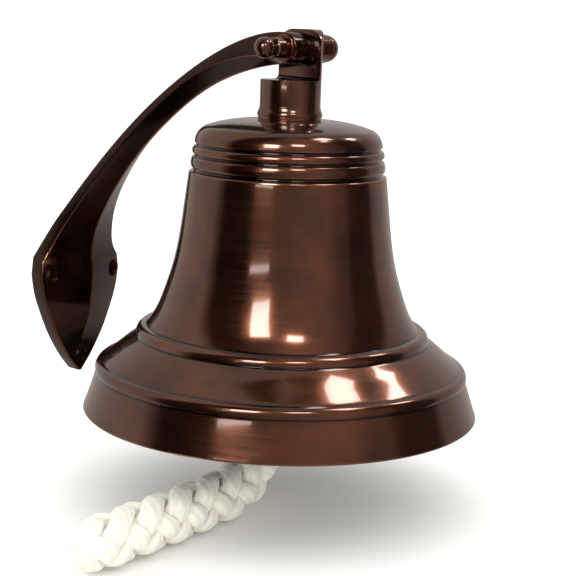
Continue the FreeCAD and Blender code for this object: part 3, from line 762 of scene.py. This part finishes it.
def add(tree, kind, settings={}, values={}, links={}):
    """Add a node with its settings, the values of its sockets, and what its sockets read."""
    made = tree.nodes.new("ShaderNode" + kind)
    for key, value in settings.items():
        setattr(made, key, value)
    for key, value in values.items():
        made.inputs[key].default_value = value
    for key, source in links.items():
        tree.links.new(source, made.inputs[key])
    return made


def fresh_material(name):
    """An empty node material, and the tree to fill."""
    made = bpy.data.materials.new(name)
    made.use_nodes = True
    made.node_tree.nodes.clear()
    return made, made.node_tree


def mixed(tree, share, low, high):
    """The node output that goes from colour low to colour high as share goes from 0 to 1."""
    blend = add(tree, "Mix", {"data_type": "RGBA"})
    tree.links.new(share, blend.inputs["Factor"])
    for socket, colour in ((blend.inputs[6], low), (blend.inputs[7], high)):
        if isinstance(colour, str):
            socket.default_value = linear(colour)
        else:
            tree.links.new(colour, socket)
    return blend.outputs[2]


# %% Browned and lacquered bronze
def browned_bronze(made, line_vector, rubbed_copper_and_highlight, hollow_shade, brown, warmer, line_show, coat):
    """Bronze under a brown wash and clear lacquer: a metal's own tinted mirror, softened by fine
    tool lines, with a second sharp white gloss from the lacquer.  Of the two masks, the first is 1
    on edges painted copper, partly rubbed wear and partly painted highlight, and the second is 1
    in grooves painted nearly black, partly the wash they keep and partly painted shade."""
    tree = made.node_tree
    lines = add(tree, "TexNoise", values={"Scale": 1.0, "Detail": 3.0, "Roughness": 0.6},
                links={"Vector": line_vector}).outputs["Fac"]
    place = add(tree, "TexCoord").outputs["Object"]
    # the wash takes unevenly, in clouds about 25 mm across
    cloud = add(tree, "TexNoise", values={"Scale": 40.0, "Detail": 4.0},
                links={"Vector": place}).outputs["Fac"]
    cloud = add(tree, "MapRange", values={"From Min": 0.35, "From Max": 0.68},
                links={"Value": cloud}).outputs[0]
    wash = mixed(tree, cloud, brown, warmer)
    line_share = add(tree, "MapRange", values={"From Min": 0.35, "From Max": 0.7},
                     links={"Value": lines}).outputs[0]
    line_share = add(tree, "Math", {"operation": "MULTIPLY"}, {1: line_show}, {0: line_share}).outputs[0]
    wash = mixed(tree, line_share, wash, "#8a5a48")
    # painted shade: grooves are mixed toward near black, partly the wash they keep
    wash = mixed(tree, hollow_shade, wash, "#160d0a") if hollow_shade else wash
    # painted highlight: edges are mixed toward copper, partly rubbed wear
    colour = mixed(tree, rubbed_copper_and_highlight, wash, "#b5734f")
    rough = add(tree, "MapRange", values={"From Min": 0.3, "From Max": 0.7, "To Min": 0.15, "To Max": 0.23},
                links={"Value": lines}).outputs[0]
    bump = add(tree, "Bump", values={"Strength": 0.06, "Distance": 0.02 * MM}, links={"Height": lines})
    shader = add(tree, "BsdfPrincipled",
                 values={"Metallic": 1.0, "Coat Weight": coat, "Coat Roughness": 0.07, "Coat IOR": 1.65},
                 links={"Base Color": colour, "Roughness": rough, "Normal": bump.outputs[0]})
    add(tree, "OutputMaterial", links={"Surface": shader.outputs[0]})
    print("made the finish", made.name)
    return made


# turned: rings 0.9 mm apart, coarser than a real tool's 0.2 mm, so that they show.  bend is in
# radians per metre: an edge starts to be painted copper, partly wear and partly painted highlight,
# at a radius of about 7 mm, 1 / 150 m, and a hollow is painted nearly black, partly the wash it
# keeps and partly painted shade.
turned_bronze, tree = fresh_material("turned_browned_bronze")
along = add(tree, "Attribute", {"attribute_name": "along"}).outputs["Fac"]
bend = add(tree, "Attribute", {"attribute_name": "bend"}).outputs["Fac"]
place = add(tree, "SeparateXYZ", links={"Vector": add(tree, "TexCoord").outputs["Object"]})
ring_lines = add(tree, "CombineXYZ", links={
    "X": add(tree, "Math", {"operation": "MULTIPLY"}, {1: 1 / (0.9 * MM)}, {0: along}).outputs[0],
    "Y": add(tree, "Math", {"operation": "MULTIPLY"}, {1: 9.0}, {0: place.outputs["X"]}).outputs[0],
    "Z": add(tree, "Math", {"operation": "MULTIPLY"}, {1: 9.0}, {0: place.outputs["Y"]}).outputs[0]})
edge_copper_and_highlight = add(tree, "MapRange", values={"From Min": 150.0, "From Max": 800.0, "To Max": 0.55},
                links={"Value": bend}).outputs[0]
# painted shade in hollows, partly the wash they keep
groove_painted_shade = add(tree, "MapRange", values={"From Min": -160.0, "From Max": -600.0},
                links={"Value": bend}).outputs[0]
browned_bronze(turned_bronze, ring_lines.outputs[0], edge_copper_and_highlight, groove_painted_shade, "#5c3a2b", "#845038",
               line_show=0.14, coat=1.0)


def copper_edged_bronze(name, scale, brown, warmer, coat):
    """The same finish for pieces that carry a mask of edges painted copper, partly rubbed wear and partly
    painted highlight, with brush strokes of the given scale.
    """
    made, tree = fresh_material(name)
    rubbed = add(tree, "Attribute", {"attribute_name": "rubbed"}).outputs["Fac"]
    # edges painted copper: partly rubbed wear, partly painted highlight
    rubbed_copper_and_highlight = add(tree, "MapRange", values={"From Min": 0.25, "From Max": 0.95, "To Max": 0.7},
               links={"Value": rubbed}).outputs[0]
    strokes = add(tree, "Mapping", values={"Scale": scale},
                  links={"Vector": add(tree, "TexCoord").outputs["Object"]}).outputs[0]
    return browned_bronze(made, strokes, rubbed_copper_and_highlight, None, brown, warmer, line_show=0.08, coat=coat)


# the casting is brushed by hand, in strokes about 16 mm long and 2.5 mm apart
brushed_bronze = copper_edged_bronze("cast_brushed_bronze", (180.0, 400.0, 60.0), "#33221b", "#3e2a21", 0.45)
# the post and the small parts are turned or milled, with marks 0.9 mm apart
cut_bronze = copper_edged_bronze("cut_browned_bronze", (60.0, 60.0, 1100.0), "#5f3e31", "#7a4d3c", 1.0)

# %% [markdown]
# The pull is soft-laid cotton, bleached cream.  Cotton scatters light in all directions and
# its loose fibres catch a faint bright rim; the valleys between two yarns are in their own
# shade, so they look darker and warmer.

# %% Bleached cotton
cotton, tree = fresh_material("bleached_cotton")
groove = add(tree, "Attribute", {"attribute_name": "groove"}).outputs["Fac"]
fibre = add(tree, "Attribute", {"attribute_name": "fibre"}).outputs["Vector"]
# fibres drawn 0.7 mm apart and 8 mm long, coarser than real ones, so that they show
fibre = add(tree, "Mapping", values={"Scale": (1 / 0.008, 1 / 0.0007, 1.0)}, links={"Vector": fibre})
fuzz = add(tree, "TexNoise", values={"Scale": 1.0, "Detail": 4.0},
           links={"Vector": fibre.outputs[0]}).outputs["Fac"]
shade = add(tree, "MapRange", values={"From Min": 0.3, "From Max": 0.7}, links={"Value": fuzz}).outputs[0]
yarn = mixed(tree, shade, "#dad6c9", "#eeebe2")
# painted shade: the valleys between yarns are mixed toward a darker, warmer cream
valley_painted_shade = add(tree, "Math", {"operation": "MULTIPLY"}, {1: 0.22}, {0: groove}).outputs[0]
bump = add(tree, "Bump", values={"Strength": 0.6, "Distance": 0.3 * MM}, links={"Height": fuzz})
shader = add(tree, "BsdfPrincipled",
             values={"Roughness": 0.92, "Sheen Weight": 0.25, "Specular IOR Level": 0.2},
             links={"Base Color": mixed(tree, valley_painted_shade, yarn, "#b9ae92"), "Normal": bump.outputs[0]})
add(tree, "OutputMaterial", links={"Surface": shader.outputs[0]})

# %% Each piece gets its finish
for piece in [p for p in bpy.data.objects if p.type == "MESH"]:
    names = [a.name for a in piece.data.attributes]
    if "fibre" in names:
        finish = cotton
    elif "bend" in names:
        finish = turned_bronze
    elif piece is bracket:
        finish = brushed_bronze
    else:
        finish = cut_bronze
    piece.data.materials.clear()
    piece.data.materials.append(finish)

# %% [markdown]
# ## Floor, backdrop and light
# Dark lacquered metal shows only what it mirrors.  So the room it mirrors is mostly dark, with
# a bright wall behind, which draws grey rims, and a few window-shaped lamps in front, which
# draw crisp bright patches.  The floor is pale and matt, and isn't mirrored.

# %% Floor
floor_mesh = bpy.data.meshes.new("floor")
floor_half = 30                    # metres, so that its edge is never seen
floor_corners = [(-1, -1), (1, -1), (1, 1), (-1, 1)]
floor_mesh.from_pydata([(x * floor_half, y * floor_half, floor_z) for x, y in floor_corners],
                       [], [(0, 1, 2, 3)])
floor = bpy.data.objects.new("floor", floor_mesh)
bpy.context.scene.collection.objects.link(floor)
floor.visible_glossy = False
pale, tree = fresh_material("matt_pale_floor")
shader = add(tree, "BsdfDiffuse", values={"Color": linear("#f8f8f6")})
add(tree, "OutputMaterial", links={"Surface": shader.outputs[0]})
floor_mesh.materials.append(pale)

# %% The room
world = bpy.data.worlds.new("room")
world.use_nodes = True
bpy.context.scene.world = world
tree = world.node_tree
tree.nodes.clear()
direction = add(tree, "TexCoord").outputs["Generated"]
front_way = (math.sin(view_azimuth), -math.cos(view_azimuth), 0)
right_way = (math.cos(view_azimuth), math.sin(view_azimuth), 0)
to_front, to_right = (add(tree, "VectorMath", {"operation": "DOT_PRODUCT"}, {1: way},
                          {0: direction}).outputs["Value"] for way in (front_way, right_way))
bearing = add(tree, "Math", {"operation": "ARCTAN2"}, links={0: to_right, 1: to_front}).outputs[0]
bearing = add(tree, "MapRange", values={"From Min": -math.pi, "From Max": math.pi},
              links={"Value": bearing}).outputs[0]
# what stands round the room: its bearing from the front in degrees, and its colour
surroundings = [(-180, "#c4beba"), (-147, "#bcb4ae"), (-122, "#beb5ae"), (-98, "#d0c5bd"), (-86, "#ccc0b8"),
                (-79, "#8c8079"), (-72, "#2a221e"), (-41, "#2a221e"), (-31, "#7c6c61"), (-25, "#807065"),
                (-8, "#a38f7f"), (6, "#aa968a"), (16, "#bda69b"), (44, "#bfa79b"), (58, "#94827a"),
                (68, "#8a7a70"), (75, "#4a403a"), (104, "#4a403a"), (112, "#a89e97"), (146, "#bcb4ae"),
                (180, "#c4beba")]
ramp = add(tree, "ValToRGB", links={"Fac": bearing})
stops = ramp.color_ramp.elements
for degrees, colour in surroundings[1:-1]:
    stops.new(0.5 + degrees / 360).color = linear(colour)
for stop, (degrees, colour) in ((stops[0], surroundings[0]), (stops[-1], surroundings[-1])):
    stop.color = linear(colour)
ray = add(tree, "LightPath")
plain_room = add(tree, "Background", values={"Color": linear("#fdfdfb"), "Strength": 1.5})
mirrored_room = add(tree, "Background", values={"Strength": 0.75}, links={"Color": ramp.outputs["Color"]})
room = add(tree, "MixShader", links={0: ray.outputs["Is Glossy Ray"], 1: plain_room.outputs[0],
                                     2: mirrored_room.outputs[0]})
add(tree, "OutputWorld", links={"Surface": room.outputs[0]})


# %% Lamps
def window(name, turn_from_view, elevation, width, height, brightness, mirrored=True, distance=1.5):
    """A soft rectangular lamp that faces the bell from a given side, in degrees.  It is either
    mirrored by the metal or lights the matt rope and floor, so that each can be set alone."""
    azimuth = view_azimuth + math.radians(turn_from_view)
    rise = math.radians(elevation)
    toward = Vector((math.sin(azimuth) * math.cos(rise), -math.cos(azimuth) * math.cos(rise), math.sin(rise)))
    lamp = bpy.data.lights.new(name, "AREA")
    lamp.shape, lamp.size, lamp.size_y = "RECTANGLE", width, height
    lamp.energy = brightness * width * height * math.pi
    stand = bpy.data.objects.new(name, lamp)
    stand.matrix_world = (Matrix.Translation(Vector((bell_axis[0], 0, 0)) + distance * toward)
                          @ toward.to_track_quat("Z", "Y").to_matrix().to_4x4())
    bpy.context.scene.collection.objects.link(stand)
    stand.visible_glossy = mirrored
    stand.visible_diffuse = not mirrored


window("front_left_window", -21, 31, 0.40, 0.42, 10.0)
window("front_right_window", 13, 40, 0.32, 0.20, 10.0)
window("high_right_window", 84, 67, 0.34, 0.26, 9.0)
window("far_right_window", 116, 48, 0.20, 0.22, 9.0)
window("shoulder_window", 64, 58, 0.20, 0.12, 8.0)
window("low_left_window", -25, 13, 0.50, 0.06, 4.5)
window("rope_fill", -15, 7, 1.20, 0.50, 2.6, mirrored=False)
bpy.context.scene.view_settings.view_transform = "Standard"
